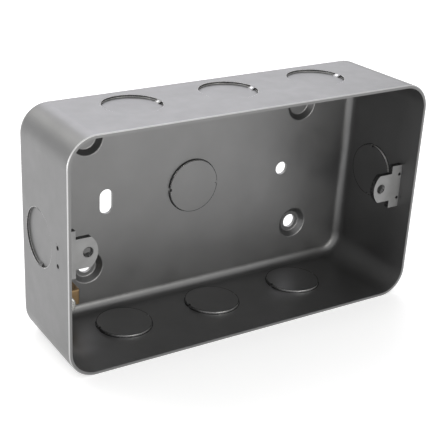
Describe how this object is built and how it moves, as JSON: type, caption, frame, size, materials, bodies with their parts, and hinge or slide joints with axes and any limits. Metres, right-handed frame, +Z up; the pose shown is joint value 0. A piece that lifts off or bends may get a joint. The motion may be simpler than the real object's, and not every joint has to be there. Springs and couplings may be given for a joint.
{
  "type": "surface mount back box",
  "caption": "Shallow rectangular steel box, open at the front, with rounded corners, half-sheared cable knockouts, tapped plate lugs and a brass earth terminal.",
  "frame": {"origin": "middle of the bounding box's footprint, on the plane that the box stands on", "axes": "+X right as seen from the open front, +Y from the open front to the wall, +Z up"},
  "size_m": [0.141, 0.042, 0.0835],
  "materials": {
    "grey_sheet": "satin grey coating on steel sheet",
    "plated_lug": "dull plated steel",
    "brass": "dull brass",
    "plated_screw": "bright plated steel"
  },
  "bodies": {
    "root": {"back_box": "grey_sheet", "lug_left": "plated_lug", "lug_right": "plated_lug", "earth_terminal_block": "brass", "earth_terminal_screw": "plated_screw"}
  },
  "joints": []
}
